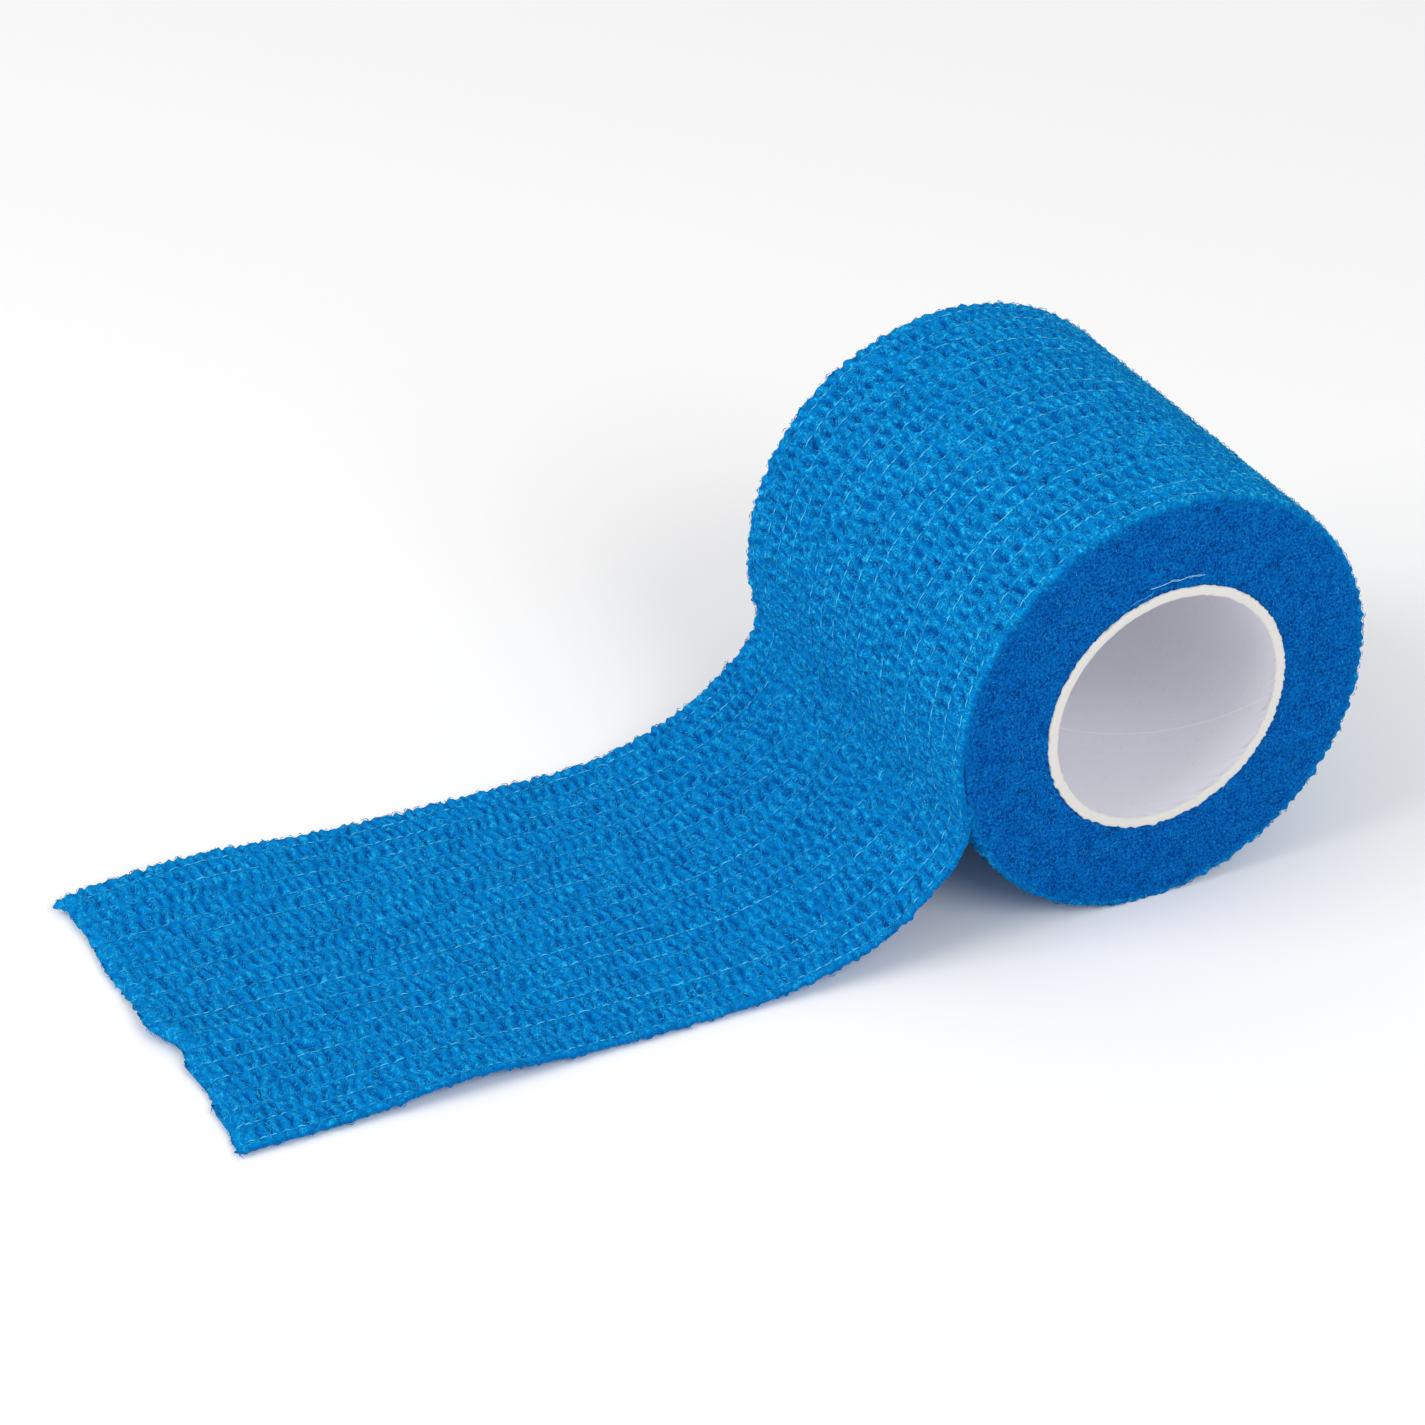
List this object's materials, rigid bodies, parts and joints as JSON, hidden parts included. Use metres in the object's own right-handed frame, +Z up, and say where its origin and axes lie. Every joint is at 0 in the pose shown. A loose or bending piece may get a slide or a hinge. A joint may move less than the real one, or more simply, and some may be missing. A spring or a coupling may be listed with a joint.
{
  "type": "sock tape roll",
  "caption": "Roll of blue crinkled elastic sock tape wound on a paper core, its loose end peeled off and lying flat; wraps round socks, pads or dressings and clings to itself.",
  "frame": {"origin": "on the surface the roll rests on, straight below the roll's axis, half way across the tape", "axes": "+Z up, Y along the roll's axis, and the loose end runs out along -X"},
  "size_m": [0.138, 0.0508, 0.0518],
  "materials": {
    "crinkled_cloth": "matte creped nonwoven with pale elastic threads",
    "core_paper": "matte white wound paper"
  },
  "bodies": {
    "root": {"bandage": "crinkled_cloth", "core": "core_paper"}
  },
  "joints": []
}
